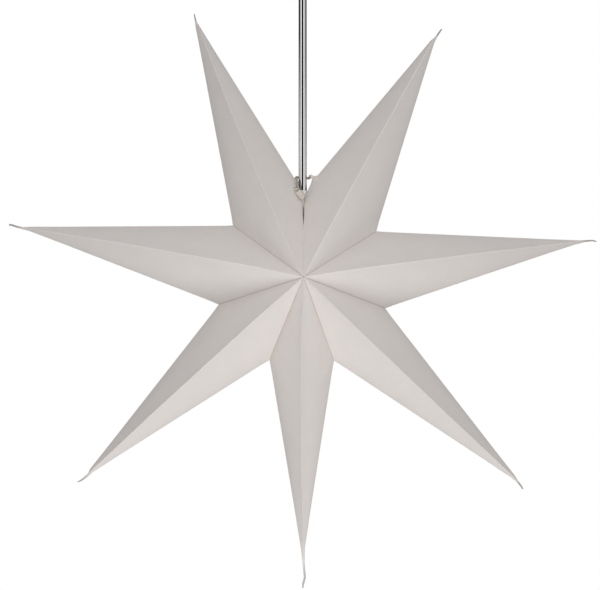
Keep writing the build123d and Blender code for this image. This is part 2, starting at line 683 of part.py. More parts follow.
def lamp_insulator():
    """Insulator between the screw cap and the tip contact."""
    return turned(
        (0, LAMP_SHOULDER),
        (LAMP_CONTACT_DIAMETER / 2 + INSULATOR_RIM, LAMP_SHOULDER),
        (LAMP_SCREW_RADIUS - INSULATOR_STEP, LAMP_CAP_TOP),
        (0, LAMP_CAP_TOP),
    )


def star_nodes():
    """The pieces made round the star's middle, by node name."""
    return {
        **star_points(),
        "tie_string_left": at_notch([string(STRING_LEFT)]),
        "tie_string_right": at_notch([string(STRING_RIGHT)]),
        "tie_knot": at_notch([barrel_knot(KNOT_MIDDLE, KNOT_AXIS, KNOT_CORE, KNOT_TURNS)]),
        "tie_stops": at_notch(tie_stops()),
        "lead_cores": lead_cores(),
        "holder_cap": holder_cap(),
        "holder_shell": holder_shell(),
        "holder_insert": holder_insert(),
        "holder_screw_contact": holder_screw_contact(),
        "holder_middle_contact": rod(MIDDLE_CONTACT_DIAMETER, SHELF - MIDDLE_CONTACT_HEIGHT, SHELF),
        "lamp_contact": rod(LAMP_CONTACT_DIAMETER, LAMP_SHOULDER, LAMP_TOP),
        "lamp_insulator": lamp_insulator(),
        "lamp_screw_cap": rod(2 * LAMP_SCREW_RADIUS, COLLAR_TOP, LAMP_CAP_TOP),
        "lamp_collar": lamp_collar(),
        "lamp_glass": lamp_glass(),
        "lamp_carrier": lamp_carrier(),
        "lamp_filaments": lamp_filaments(),
    }


def ceiling_nodes():
    """The pieces made from the ceiling down, by node name."""
    return {
        "ceiling_bracket": ceiling_bracket(),
        "bracket_nut": bracket_nut(),
        "canopy": canopy(),
        "canopy_screws": canopy_screws(),
        "wire_connector": wire_connector(),
        "connector_screws": connector_screws(),
        "ceiling_lead": ceiling_lead(),
        "upper_yoke": upper_yoke(),
        "upper_pins": at_pivot(pins(), 90),
        "gimbal_ring": gimbal_ring(),
        "lower_yoke": lower_yoke(),
        "lower_pins": at_pivot(pins(), 0),
        "grub_screws": grub_screws(),
        "stem": stem(),
        "stem_lead": rod(LEAD_DIAMETER, SPIGOT_TOP - STAR_DROP, -PIVOT_DROP - LEAD_GAP),
    }


def write(name, made):
    """Writes a piece, or a group of separate pieces, to its file."""
    pieces = made if isinstance(made, list) else [made]
    solids = [solid for piece in pieces for solid in piece.solids()]
    export_step(Compound(solids), f"parts/{name}.step")


os.makedirs("parts", exist_ok=True)
for node, made in star_nodes().items():
    moved = [at_star(piece) for piece in made] if isinstance(made, list) else at_star(made)
    write(node, moved)
for node, made in ceiling_nodes().items():
    write(node, made)
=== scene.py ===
import json
import math
from collections import namedtuple

import bmesh
import bpy
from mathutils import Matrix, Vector, noise


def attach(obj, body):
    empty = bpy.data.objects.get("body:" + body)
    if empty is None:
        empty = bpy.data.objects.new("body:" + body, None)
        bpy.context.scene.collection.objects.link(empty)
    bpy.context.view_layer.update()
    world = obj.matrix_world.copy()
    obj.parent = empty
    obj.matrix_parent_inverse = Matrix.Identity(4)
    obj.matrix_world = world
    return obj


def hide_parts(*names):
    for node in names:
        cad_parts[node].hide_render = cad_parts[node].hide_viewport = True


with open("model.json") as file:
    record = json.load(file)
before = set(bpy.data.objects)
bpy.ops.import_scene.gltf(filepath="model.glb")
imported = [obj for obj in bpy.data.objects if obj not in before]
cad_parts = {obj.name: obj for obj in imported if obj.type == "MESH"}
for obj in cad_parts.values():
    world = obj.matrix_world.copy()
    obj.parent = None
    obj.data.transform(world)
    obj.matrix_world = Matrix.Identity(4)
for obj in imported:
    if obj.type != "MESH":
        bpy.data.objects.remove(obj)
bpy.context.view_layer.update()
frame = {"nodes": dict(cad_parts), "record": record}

nodes = frame["nodes"]

# Star, in millimetres and degrees from its middle
MM = 0.001
DROP = -430.0
HALF_DEPTH = 90.0
VALLEY = 104.0
TURN = 0.5
APEX_PAST_CONE = 10.0
CONE_STOP = 5.0
PAPER = 0.3
WELD = 0.02
RIM_ANGLE = 50.0

# Points: spread and lean in degrees, reach, the ridge's drift to one side and its wear,
# and the tail's stations of length past the reach, sideways shift and width
Point = namedtuple("Point", "name spread lean reach drift wear tail")
POINTS = [
    Point("upper_right", 56.7, -0.2, 326.0, -0.9, 0.65,
          [(0.8, 1.4, 2.6), (4.7, 1.7, 2.2), (8.9, 2.1, 2.2), (13.6, 2.7, 1.7)]),
    Point("right", 52.5, -1.1, 331.0, -1.3, 0.57,
          [(2.0, 0.4, 3.6), (6.9, 0.2, 2.3), (15.7, 0.8, 2.0), (20.4, 2.6, 1.4)]),
    Point("lower_right", 49.4, -1.2, 347.5, 0.7, 0.3,
          [(0.8, 0.8, 2.8), (6.6, 1.5, 2.4), (12.9, 3.0, 1.7)]),
    Point("bottom", 43.1, -0.7, 324.0, 2.4, 0.12,
          [(8.4, -0.7, 3.2), (20.2, -1.5, 2.5), (29.2, -2.1, 2.5), (35.6, -0.5, 2.7), (41.5, 0.3, 1.7)]),
    Point("lower_left", 50.7, 0.2, 343.0, 1.4, 0.2,
          [(-1.0, -1.2, 3.2), (6.1, -0.9, 2.2), (10.6, -0.4, 2.1), (15.2, 1.0, 1.7)]),
    Point("left", 54.5, 0.2, 333.0, 1.9, 0.55,
          [(3.1, -0.7, 2.8), (11.2, -0.2, 2.4), (16.6, 0.6, 2.3), (20.2, 0.3, 2.1)]),
    Point("upper_left", 53.1, 3.5, 329.0, -3.3, 0.25,
          [(-0.6, -0.3, 2.8), (2.7, 0.2, 1.9), (6.3, 0.8, 1.8), (10.5, 1.7, 1.4)]),
]

# Panels: bow and waves as shares of the width, drift as shares of the ridge's length,
# rounded folds, worn creases, and glued seams, whose stain is as wide as the painted shade beside the slit
BOW = 0.018
BOW_SHAPE = 27 / 4
WAVE = 0.006
WAVE_COARSE = 0.018
WAVE_FINE = 0.045
WAVE_FINE_SHARE = 0.5
SEED_STEP = 7.3
DRIFT_START = 0.2
DRIFT_HOLD = 0.6
RIDGE_ROUND = 1.6
SIDE_ROUND = 1.6
FOLD_EASE = 14.0
CREASE_WIDTH = 3.0
CREASE_WORN = 0.5
SEAM_GAP = 0.04
SEAM_WIDTH = 1.6

# Rows along a panel's ridge and columns across it
FIRST_ROWS = (0.4, 2.0, 4.5)
ROW_GROWTH = 0.6
ROW_STEP = 8.0
CORNER_STEP = 1.2
CORNER_CLEAR = 3.0
RIDGE_STEPS = (0.0, 0.25, 0.5, 1.0, 1.6)
INNER_STEPS = (0.12, 0.2, 0.3, 0.4, 0.5, 0.6, 0.7, 0.79, 0.88)
SIDE_STEPS = (1.6, 1.0, 0.45, 0.0)
NARROW = 15.0

# Tails: depth at the start, its loss, wobble, turn in degrees and painted shade of the crumpled folds
TAIL_STEPS = 6
TAIL_DEPTH = 1.7
TAIL_THINNING = 0.7
TAIL_WOBBLE = 0.08
TAIL_WOBBLE_STEP = 0.45
TAIL_TURN = 38.0
# Where the painted shade of a tail starts and how fast it grows along it
TAIL_SHADE_START = 0.25
TAIL_SHADE_RISE = 1.5

# Glue tabs along the valley folds
TAB_START = 12.0
TAB_LENGTH = 70.0
TAB_WIDTH = 9.0

# Notch for the stem, the slit below it, and the lug of paper that the string draws out beside it
NOTCH_FOOT = 91.06
NOTCH_LEFT = 19.0
NOTCH_RIGHT = 24.0
SLIT_HALF = 0.65
SLIT_FOOT = 60.0
SLIT_EASE = 15.0
# painted shade along the slit's edges where it opens
SLIT_SHADE = 2.7
LUG = 3.7
LUG_PEAK = 8.0
LUG_END = 12.0
LUG_WIDTH = 6.0
LUG_STEPS = (2.0, 4.0, 6.0, 8.0, 10.0, 12.0)
LUG_CLEAR = 0.8

# String of the tie: diameter, length of one twist, strands and their grooves
STRING = 3.3
STRING_LAY = 7.0
STRING_STEP = 0.4
STRING_LOBES = 3
LOBE_SIDES = 6
STRING_GROOVE = 0.14

# Routes of the tie's strings, in millimetres from the notch's foot
STRING_LEFT = [(-13.2, -6.6, 15.2), (-10.1, -12.5, 15.0), (-8.4, -16.0, 14.6), (-6.2, -17.5, 13.0)]
STRING_RIGHT = [
    (-3.4, -15.4, 9.6),
    (-5.8, -10.0, 16.5),
    (-6.4, -6.0, 25.0),
    (-8.6, 2.6, 29.4),
    (-4.0, 8.3, 29.6),
    (4.8, 8.2, 28.8),
    (8.6, 3.2, 28.4),
    (8.4, -2.6, 30.6),
    (11.0, -4.6, 30.8),
    (12.8, -2.8, 25.2),
    (19.2, -1.6, 20.6),
]

# Knot and stops, wound from the string, and where shade is painted on the string
KNOT_TURNS = 4
KNOT_CORE = 2.7
KNOT_MIDDLE = Vector((-3.1, -17.5, 7.4))
KNOT_AXIS = Vector((0.62, 0.0, -0.78))
STOP_TURNS = 2
STOP_CORE = 1.6
WIND_STEPS = 28
WIND_DRAW = 0.32
WIND_POWER = 6
CORE_RINGS = 8
CORE_SIDES = 24
CORE_SWELL = 1.06
# Where the painted shade on the string starts above the notch's foot, ends towards the right, and eases
STRING_SHADE_START = 13.0
STRING_SHADE_END = 11.0
STRING_SHADE_EASE = 4.0

# Sheen of the paper, bending of light by the thin glass, and colours of the paper and the string
PAPER_SHEEN = 0.15
GLASS_BENDING = 1.05
PAPER_COLOUR = (0.74, 0.70, 0.674)
CREASE_COLOUR = (0.87, 0.83, 0.79)
# brown of the glued seams, also painted as shade along the slit's edges
SEAM_STAIN_AND_SLIT_SHADE_COLOUR = (0.50, 0.40, 0.31)
# painted shade colour of the tails' crumpled folds
TAIL_SHADE_COLOUR = (0.36, 0.335, 0.32)
COTTON_COLOUR = (0.66, 0.61, 0.545)
# painted shade colour of the string beside and behind the stem
STRING_SHADE_COLOUR = (0.33, 0.30, 0.265)

# Grain of all surfaces
NOISE_LOW = 0.25
NOISE_HIGH = 0.75
NOISE_DETAIL = 4.0
GLOSS_CHANGE = 0.15
GLOSS_GRAIN = 1.7
GLOSS_DETAIL = 3.0
RELIEF_GRAIN = 4.0

# Camera in front of the star, in metres and radians, with its lens and sensor in millimetres
CAMERA_PLACE = (-0.0251, -2.100, -0.4797)
CAMERA_YAW = 0.01045
CAMERA_PITCH = 0.0145
CAMERA_LENS = 106.41
CAMERA_SENSOR = 36.0
CAMERA_NEAR = 0.01

# Broad lamps near the star, in metres: degrees round and up from its front, and power in watts
LAMP_DISTANCE = 0.9
LAMP_SIZE = 0.6
LAMPS = [
    ("low_lamp", 0, -60, 3.15),
    ("front_lamp", 0, 0, 2.72),
    ("back_lamp", 180, 25, 2.6),
]

# Soft light from all round: where each broad source lies, and how strong it is
SOFT_POWER = 2.0
SOFT_LIGHTS = [
    ((0, -0.707, 0.707), 0.585),
    ((0.707, -0.707, 0), 0.50),
    ((-0.707, -0.707, 0), 0.38),
    ((0, 1, 0), 1.25),
]

# Upright studio panels that only the polished metal mirrors, in metres: degrees round from the front,
# and brightness
PANEL_DISTANCE = 3.0
PANEL_HALF_HEIGHT = 3.0
PANEL_STEPS = 12
PANELS = [
    ("dark_ahead", -28, 19, 0.0),
    ("bright_right", 19, 44, 0.93),
    ("pale_right", 44, 60, 0.58),
    ("dim_right", 60, 77, 0.29),
    ("pale_left", -60, -28, 0.95),
    ("grey_right", 77, 150, 0.14),
    ("grey_left", -150, -60, 0.045),
    ("pale_behind", 150, 210, 0.9),
]

# Floor, in metres, pale near the object and white towards its edge
FLOOR_HEIGHT = -1.7
FLOOR_RADIUS = 2.4
FLOOR_SIDES = 96
FLOOR_LEVEL = 0.9
FLOOR_ROUGHNESS = 0.9
FLOOR_FADE_START = 0.25
FLOOR_FADE_END = 0.95


def ray(angle):
    """Direction in the star's plane, clockwise from straight up."""
    return Vector((math.sin(math.radians(angle)), 0, math.cos(math.radians(angle))))


def smooth(value):
    """Eases from 0 to 1."""
    value = min(1.0, max(0.0, value))
    return value * value * (3 - 2 * value)


def linked(name, data):
    """New object in the scene."""
    obj = bpy.data.objects.new(name, data)
    bpy.context.scene.collection.objects.link(obj)
    return obj


def placed(name, verts, faces, body):
    """Mesh object from millimetres round the star's middle, riding on a body."""
    mesh = bpy.data.meshes.new(name)
    mesh.from_pydata([(v.x * MM, v.y * MM, (v.z + DROP) * MM) for v in verts], [], faces)
    mesh.update()
    obj = linked(name, mesh)
    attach(obj, body)
    return obj


# Materials
materials = {}


def paint(obj, name):
    """Gives a piece its material."""
    obj.data.materials.clear()
    obj.data.materials.append(materials[name])


def shader(name, colour, roughness, metallic=0.0):
    """New material with its main values set."""
    mat = bpy.data.materials.new(name)
    mat.use_nodes = True
    tree = mat.node_tree
    surface = tree.nodes["Principled BSDF"]
    surface.inputs["Base Color"].default_value = (*colour, 1.0)
    surface.inputs["Roughness"].default_value = roughness
    surface.inputs["Metallic"].default_value = metallic
    materials[name] = mat
    return tree, surface


def combined(tree, operation, first, second):
    """Two values, each fixed or from a socket, joined by an operation."""
    node = tree.nodes.new("ShaderNodeMath")
    node.operation = operation
    for socket, value in zip(node.inputs, (first, second)):
        if isinstance(value, float):
            socket.default_value = value
        else:
            tree.links.new(value, socket)
    return node.outputs[0]


def noise_value(tree, grain, low, high, detail=NOISE_DETAIL):
    """Noise in object space, spread between two values."""
    place = tree.nodes.new("ShaderNodeTexCoord")
    texture = tree.nodes.new("ShaderNodeTexNoise")
    texture.inputs["Scale"].default_value = grain
    texture.inputs["Detail"].default_value = detail
    tree.links.new(place.outputs["Object"], texture.inputs["Vector"])
    spread = tree.nodes.new("ShaderNodeMapRange")
    spread.inputs["From Min"].default_value = NOISE_LOW
    spread.inputs["From Max"].default_value = NOISE_HIGH
    spread.inputs["To Min"].default_value = low
    spread.inputs["To Max"].default_value = high
    tree.links.new(texture.outputs["Fac"], spread.inputs["Value"])
    return spread.outputs["Result"]


def tint(tree, colour, grain, change):
    """A colour that grows lighter and darker by a share."""
    scale = tree.nodes.new("ShaderNodeVectorMath")
    scale.operation = "SCALE"
    scale.inputs[0].default_value = colour
    tree.links.new(noise_value(tree, grain, 1 - change, 1 + change), scale.inputs["Scale"])
    return scale.outputs["Vector"]


def marked(tree, colour, other, mark, share):
    """A colour turned towards another by a share of a mark on the mesh."""
    stored = tree.nodes.new("ShaderNodeAttribute")
    stored.attribute_name = mark
    mix = tree.nodes.new("ShaderNodeMix")
    mix.data_type = "RGBA"
    tree.links.new(combined(tree, "MULTIPLY", stored.outputs["Fac"], share), mix.inputs["Factor"])
    tree.links.new(colour, mix.inputs[6])
    mix.inputs[7].default_value = (*other, 1.0)
    return mix.outputs[2]


def bump(tree, surface, grain, depth, detail=NOISE_DETAIL):
    """Fine relief of a depth in millimetres."""
    relief = tree.nodes.new("ShaderNodeBump")
    relief.inputs["Distance"].default_value = depth * MM
    relief.inputs["Strength"].default_value = 1.0
    tree.links.new(noise_value(tree, grain, 0.0, 1.0, detail), relief.inputs["Height"])
    tree.links.new(relief.outputs["Normal"], surface.inputs["Normal"])


def make_plain(name, colour, roughness, grain, change, metallic=0.0, relief=0.0):
    """Surface whose colour and gloss vary a little."""
    tree, surface = shader(name, colour, roughness, metallic)
    tree.links.new(tint(tree, colour, grain, change), surface.inputs["Base Color"])
    dull = roughness * (1 + GLOSS_CHANGE)
    glossy = roughness * (1 - GLOSS_CHANGE)
    gloss = noise_value(tree, grain * GLOSS_GRAIN, glossy, dull, GLOSS_DETAIL)
    tree.links.new(gloss, surface.inputs["Roughness"])
    if relief:
        bump(tree, surface, grain * RELIEF_GRAIN, relief)
    return surface


def make_paper():
    """White paper with fine fibres, pale worn creases, brownish glued seams, painted shade along the open
    slit and painted shade on the tails.
    """
    tree, surface = shader("paper", PAPER_COLOUR, roughness=0.85)
    surface.inputs["Specular IOR Level"].default_value = PAPER_SHEEN
    colour = tint(tree, PAPER_COLOUR, grain=45.0, change=0.015)
    colour = marked(tree, colour, CREASE_COLOUR, "crease", share=0.3)
    # brown stain of the glued seams, and painted shade along the slit's edges
    colour = marked(tree, colour, SEAM_STAIN_AND_SLIT_SHADE_COLOUR, "seam_stain_and_slit_shade", share=0.34)
    # painted shade on the crumpled tails
    colour = marked(tree, colour, TAIL_SHADE_COLOUR, "tail_shade", share=0.85)
    tree.links.new(colour, surface.inputs["Base Color"])
    bump(tree, surface, grain=1100.0, depth=0.04, detail=6.0)


def make_cotton():
    """Cream twisted string, with painted shade where it lies between the paper and the stem."""
    tree, surface = shader("cotton", COTTON_COLOUR, roughness=0.9)
    colour = tint(tree, COTTON_COLOUR, grain=900.0, change=0.14)
    # painted shade on the string beside and behind the stem
    colour = marked(tree, colour, STRING_SHADE_COLOUR, "string_shade", share=0.85)
    tree.links.new(colour, surface.inputs["Base Color"])
    bump(tree, surface, grain=3600.0, depth=0.06)


def make_chrome():
    """Polished chrome of the stem, the canopy and the pivot."""
    make_plain("chrome", (0.86, 0.86, 0.87), roughness=0.05, grain=120.0, change=0.015, metallic=1.0)


def make_steel():
    """Plain steel of the ceiling bracket, its nut and small screws."""
    grey = (0.55, 0.55, 0.56)
    make_plain("steel", grey, roughness=0.32, grain=300.0, change=0.05, metallic=1.0, relief=0.008)


def make_white_plastic():
    """White plastic of the lampholder and the wire connector."""
    make_plain("white_plastic", (0.82, 0.81, 0.78), roughness=0.4, grain=160.0, change=0.02, relief=0.008)


def make_lead_sheath():
    """White sheath of the lead."""
    make_plain("lead_sheath", (0.80, 0.80, 0.78), roughness=0.5, grain=220.0, change=0.03, relief=0.01)


def make_core_insulation():
    """Brown insulation of the lead's cores."""
    make_plain("core_insulation", (0.25, 0.16, 0.10), roughness=0.5, grain=320.0, change=0.05, relief=0.01)


def make_holder_ceramic():
    """Cream ceramic of the lampholder's insert."""
    make_plain("holder_ceramic", (0.80, 0.77, 0.71), roughness=0.3, grain=140.0, change=0.025, relief=0.01)


def make_brass():
    """Brass of the contacts."""
    yellow = (0.74, 0.55, 0.25)
    make_plain("brass", yellow, roughness=0.25, grain=260.0, change=0.05, metallic=1.0, relief=0.006)


def make_nickel():
    """Nickel of the lamp's screw cap."""
    silver = (0.72, 0.70, 0.66)
    make_plain("nickel", silver, roughness=0.22, grain=260.0, change=0.04, metallic=1.0, relief=0.006)


def make_black_insulator():
    """Black glass of the lamp's insulator."""
    make_plain("black_insulator", (0.03, 0.03, 0.035), roughness=0.25, grain=200.0, change=0.1, relief=0.006)


def make_lamp_plastic():
    """White plastic of the lamp's collar."""
    make_plain("lamp_plastic", (0.84, 0.84, 0.82), roughness=0.45, grain=180.0, change=0.02, relief=0.008)


def make_lamp_glass():
    """Clear thin glass of the lamp."""
    surface = make_plain("lamp_glass", (0.96, 0.97, 0.96), roughness=0.02, grain=60.0, change=0.01)
    surface.inputs["Transmission Weight"].default_value = 1.0
    surface.inputs["IOR"].default_value = GLASS_BENDING


def make_filament():
    """Yellow phosphor coat on the filaments."""
    make_plain("filament", (0.85, 0.55, 0.08), roughness=0.6, grain=900.0, change=0.12, relief=0.03)


def make_materials():
    """All materials, and their coat on the solids."""
    make_paper()
    make_cotton()
    make_chrome()
    make_steel()
    make_white_plastic()
    make_lead_sheath()
    make_core_insulation()
    make_holder_ceramic()
    make_brass()
    make_nickel()
    make_black_insulator()
    make_lamp_plastic()
    make_lamp_glass()
    make_filament()
    for part in frame["record"]["subparts"]:
        paint(nodes[part["node"]], part["material_slot"])


# Paper points
def notch_away(slit):
    """Direction out of the paper at the notch's cut, right of the slit for 1 and left of it for -1."""
    lean = math.radians(NOTCH_RIGHT if slit == 1 else NOTCH_LEFT)
    return Vector((-slit * math.cos(lean), 0, math.sin(lean)))


class Facet:
    """One flat panel between a ridge and its valley and side folds."""

    def __init__(self, face, tip, apex, valley):
        self.peak = Vector((0, face * HALF_DEPTH, 0))
        self.corner = ray(valley) * VALLEY
        ridge = ray(tip) * apex - self.peak
        self.length = ridge.length
        self.ridge = ridge.normalized()
        across = self.corner - self.peak
        self.bend = across.dot(self.ridge)
        across -= self.ridge * self.bend
        self.width = across.length
        self.across = across.normalized()
        self.normal = self.ridge.cross(self.across)
        if self.normal.y * face < 0:
            self.normal = -self.normal

    def reach(self, along):
        """Width of the panel at a distance along its ridge."""
        if along < self.bend:
            return self.width * along / self.bend
        return self.width * (self.length - along) / (self.length - self.bend)


class Lug:
    """Corner of the paper that the string draws out past the side fold, to the right of the notch."""

    def __init__(self, facet, tip, apex):
        end = ray(tip) * apex
        self.fold = (end - facet.corner).normalized()
        self.out = Vector((-self.fold.z, 0, self.fold.x))
        rounded = 0.5 * SIDE_ROUND * abs(facet.normal.y)
        self.start = facet.corner + Vector((SLIT_HALF, 0, 0)) - self.out * rounded
        away = notch_away(1)
        self.cut = (Vector((0, 0, NOTCH_FOOT)) - self.start).dot(away) / self.fold.dot(away)
        share = (facet.length - facet.bend) / (end - self.start).length
        self.rows = [facet.bend + (self.cut + step) * share for step in LUG_STEPS]

    def shift(self, spot):
        """How far a place of the paper is drawn out."""
        along = (spot - self.start).dot(self.fold) - self.cut
        inside = (self.start - spot).dot(self.out)
        draw = min(along / LUG_PEAK, (LUG_END - along) / (LUG_END - LUG_PEAK))
        if draw <= 0 or inside >= LUG_WIDTH:
            return Vector()
        return self.out * (LUG * draw * (1 - max(0.0, inside) / LUG_WIDTH) ** 2)


def columns(width):
    """Distances from the ridge across a panel of a given width."""
    scale = min(1.0, width / NARROW)
    near = [step * scale for step in RIDGE_STEPS]
    middle = [step * width for step in INNER_STEPS]
    far = [width - step * scale for step in SIDE_STEPS]
    return near + middle + far


def drift_share(passed):
    """Share of the ridge's drift at a share of its length."""
    return smooth(passed / DRIFT_START) * (1 - smooth((passed - DRIFT_HOLD) / (1 - DRIFT_HOLD)))


def ridge_sink(facet, other, across, rounding):
    """How far a rounded ridge lies below a sharp one."""
    if across >= rounding:
        return Vector()
    bisector = (facet.normal + other.normal).normalized()
    sink = math.sqrt(max(0.0, 1 - facet.normal.dot(bisector) ** 2))
    return bisector * (0.5 * rounding * sink * (1 - across / rounding) ** 2)


def side_sink(facet, inside, rounding, past, gap):
    """How far a rounded side fold, or a seam in its valley, lies inside the sharp edge."""
    if inside >= rounding:
        return Vector()
    near = 1 - inside / rounding
    flat = Vector((facet.normal.x, 0, facet.normal.z)).normalized()
    fold = flat * (past * 0.5 * rounding * abs(facet.normal.y) * near ** 2)
    return fold + facet.across * ((1 - past) * gap * near)


def curved(before, here, there, after, share):
    """Place between two knots, on a smooth curve that their neighbours steer."""
    square = share * share
    cube = square * share
    spot = here * (2 * cube - 3 * square + 1)
    spot += (there - before) * (0.5 * (cube - 2 * square + share))
    spot += there * (3 * square - 2 * cube)
    spot += (after - here) * (0.5 * (cube - square))
    return spot


def tail_path(stations, tip, reach):
    """Even points with widths along a tail, curved through its stations."""
    way = ray(tip)
    side = ray(tip + 90)
    knots = [(way * (reach + past) + side * shift, width) for past, shift, width in stations]
    last = len(knots) - 1
    path = []
    for i in range(last):
        before = knots[max(0, i - 1)][0]
        here, width = knots[i]
        there, next_width = knots[i + 1]
        after = knots[min(last, i + 2)][0]
        for k in range(TAIL_STEPS):
            share = k / TAIL_STEPS
            path.append((curved(before, here, there, after, share), width + (next_width - width) * share))
    path.append(knots[-1])
    return path


def station_ring(shape, centre, way, width, depth, turn):
    """Ring of a tail: the cone's last section set at a place, squeezed and turned."""
    up = Vector((0, 1, 0))
    side = up.cross(way).normalized()
    ring = []
    for x, y in shape:
        flat = x * width / 2
        high = y * depth / 2
        sideways = flat * math.cos(turn) - high * math.sin(turn)
        upwards = flat * math.sin(turn) + high * math.cos(turn)
        ring.append(centre + side * sideways + up * upwards)
    return ring


def glue_tab(facet, valley, side):
    """Corners of the tab that a panel turns inwards along its valley fold."""
    fold = (facet.corner - facet.peak).normalized()
    across = ray(valley + 90)
    inward = across.cross(fold)
    if inward.dot(facet.peak) > 0:
        inward = -inward
    start = facet.peak + fold * TAB_START + across * (side * PAPER) + inward * PAPER
    end = start + fold * TAB_LENGTH
    return [start, end, end + (inward - fold) * TAB_WIDTH, start + (inward + fold) * TAB_WIDTH]


class StarPoint:
    """One folded sheet: two faces with ridges, side folds, a pinched tail and glue tabs."""

    def __init__(self, index, valleys, slits):
        self.point = POINTS[index]
        self.valleys = valleys
        self.slits = slits
        self.seed = SEED_STEP * (index + 1)
        self.tip = valleys[0] + (valleys[1] - valleys[0]) / 2 + self.point.lean
        self.apex = self.point.reach + APEX_PAST_CONE
        self.sway = ray(self.tip + 90) * self.point.drift
        self.front = [Facet(-1, self.tip, self.apex, valley) for valley in valleys]
        self.back = [Facet(1, self.tip, self.apex, valley) for valley in valleys]
        self.bends = [facet.bend for facet in self.front]
        self.lug = Lug(self.front[0], self.tip, self.apex) if slits[0] else None
        self.verts = []
        self.faces = []
        self.marks = {"crease": [], "seam_stain_and_slit_shade": [], "tail_shade": []}

    def add(self, spot, crease=0.0, seam_stain_and_slit_shade=0.0, tail_shade=0.0):
        """Adds a corner with its marks and gives its number."""
        self.verts.append(spot)
        self.marks["crease"].append(crease)
        self.marks["seam_stain_and_slit_shade"].append(seam_stain_and_slit_shade)
        self.marks["tail_shade"].append(tail_shade)
        return len(self.verts) - 1

    def rows(self):
        """Distances along the ridge at which a face has a row of corners."""
        stop = self.front[0].length * (self.point.reach - CONE_STOP) / self.apex
        rows = list(FIRST_ROWS)
        while rows[-1] < stop - ROW_STEP:
            rows.append(rows[-1] + min(ROW_STEP, rows[-1] * ROW_GROWTH))
        rows = [row for row in rows if all(abs(row - bend) > CORNER_CLEAR for bend in self.bends)]
        rows.append(stop)
        for bend in self.bends:
            rows += [bend - CORNER_STEP, bend, bend + CORNER_STEP]
        if self.lug:
            rows = [row for row in rows if all(abs(row - extra) > LUG_CLEAR for extra in self.lug.rows)]
            rows += self.lug.rows
        return sorted(set(round(row, 3) for row in rows))

    def bulge(self, spot, share, width):
        """How far a panel bows and waves out of its plane."""
        wave = noise.noise(spot * WAVE_COARSE + Vector((self.seed, 0, 0)))
        wave += WAVE_FINE_SHARE * noise.noise(spot * WAVE_FINE + Vector((0, self.seed, 0)))
        bow = BOW * width * BOW_SHAPE * share * share * (1 - share)
        return bow + WAVE * width * wave * math.sin(math.pi * share)

    def panel_spot(self, pair, side, along, across):
        """Place on one of a face's two panels, at distances along and across from its ridge."""
        facet = pair[side]
        slit = self.slits[side]
        width = facet.reach(along)
        scale = min(1.0, width / NARROW)
        share = across / width
        past = smooth((along - facet.bend) / FOLD_EASE)
        gap = 0.0 if slit else SEAM_GAP
        spot = facet.peak + facet.ridge * along + facet.across * across
        spot += facet.normal * self.bulge(spot, share, width)
        spot += self.sway * (drift_share(along / facet.length) * (1 - share))
        spot -= ridge_sink(facet, pair[1 - side], across, RIDGE_ROUND * self.point.wear * scale)
        spot -= side_sink(facet, width - across, SIDE_ROUND * scale, past, gap)
        if slit:
            spot.x += slit * SLIT_HALF * share * share * smooth((spot.z - SLIT_FOOT) / SLIT_EASE)
        return spot

    def stain_and_shade(self, spot, side, inside):
        """How brown the paper is beside its glued seam, and how much painted shade lies beside the slit
        where it opens.
        """
        stain_and_shade = max(0.0, 1 - inside / SEAM_WIDTH)
        if self.slits[side]:
            # painted shade beside the open slit
            stain_and_shade *= SLIT_SHADE * smooth((spot.z - SLIT_FOOT) / SLIT_EASE)
        return stain_and_shade

    def half_row(self, pair, side, along):
        """Corners of one row from the ridge to a panel's outer fold, with their creases, seam stains and
        painted slit shade.
        """
        width = pair[side].reach(along)
        glued = along < max(self.bends)
        half = []
        for across in columns(width):
            spot = self.panel_spot(pair, side, along, across)
            crease = CREASE_WORN * self.point.wear * max(0.0, 1 - across / CREASE_WIDTH)
            half.append((spot, crease, self.stain_and_shade(spot, side, width - across) if glued else 0.0))
        return half

    def add_face(self, pair, rows, front):
        """Adds one face, from the left fold over the ridge to the right fold, and gives its last row."""
        lines = []
        for along in rows:
            left = self.half_row(pair, 0, along)
            right = self.half_row(pair, 1, along)
            lines.append([self.add(*corner) for corner in left[:0:-1] + right])
        for low, high in zip(lines, lines[1:]):
            for j in range(len(low) - 1):
                quad = [low[j], low[j + 1], high[j + 1], high[j]]
                self.faces.append(quad if front else quad[::-1])
        return lines[-1]

    def ring_shape(self, ring):
        """Section of the sheet at a ring of corners, as shares of its half width and depth."""
        side = ray(self.tip + 90)
        spots = [self.verts[i] for i in ring]
        centre = sum(spots, Vector()) / len(spots)
        across = [(spot - centre).dot(side) for spot in spots]
        middle = (max(across) + min(across)) / 2
        half = (max(across) - min(across)) / 2
        deep = max(abs(spot.y) for spot in spots)
        return [((place - middle) / half, spot.y / deep) for place, spot in zip(across, spots)]

    def add_tail(self, ring):
        """Adds the pinched tail that runs on from the last rows of both faces."""
        shape = self.ring_shape(ring)
        path = tail_path(self.point.tail, self.tip, self.point.reach)
        last = len(path) - 1
        for k, (spot, width) in enumerate(path):
            way = (path[min(k + 1, last)][0] - path[max(k - 1, 0)][0]).normalized()
            share = k / last
            depth = TAIL_DEPTH - TAIL_THINNING * share
            wobble = 1 + TAIL_WOBBLE * noise.noise(Vector((self.seed, k * TAIL_WOBBLE_STEP, 0)))
            turn = math.radians(TAIL_TURN) * share * math.sin(self.seed)
            # painted shade, growing along the tail
            tail_shade = smooth(TAIL_SHADE_START + TAIL_SHADE_RISE * share)
            corners = station_ring(shape, spot, way, width * wobble, depth, turn)
            new = [self.add(corner, tail_shade=tail_shade) for corner in corners]
            for j in range(len(new)):
                following = (j + 1) % len(new)
                self.faces.append([ring[j], ring[following], new[following], new[j]])
            ring = new
        self.faces.append(ring)

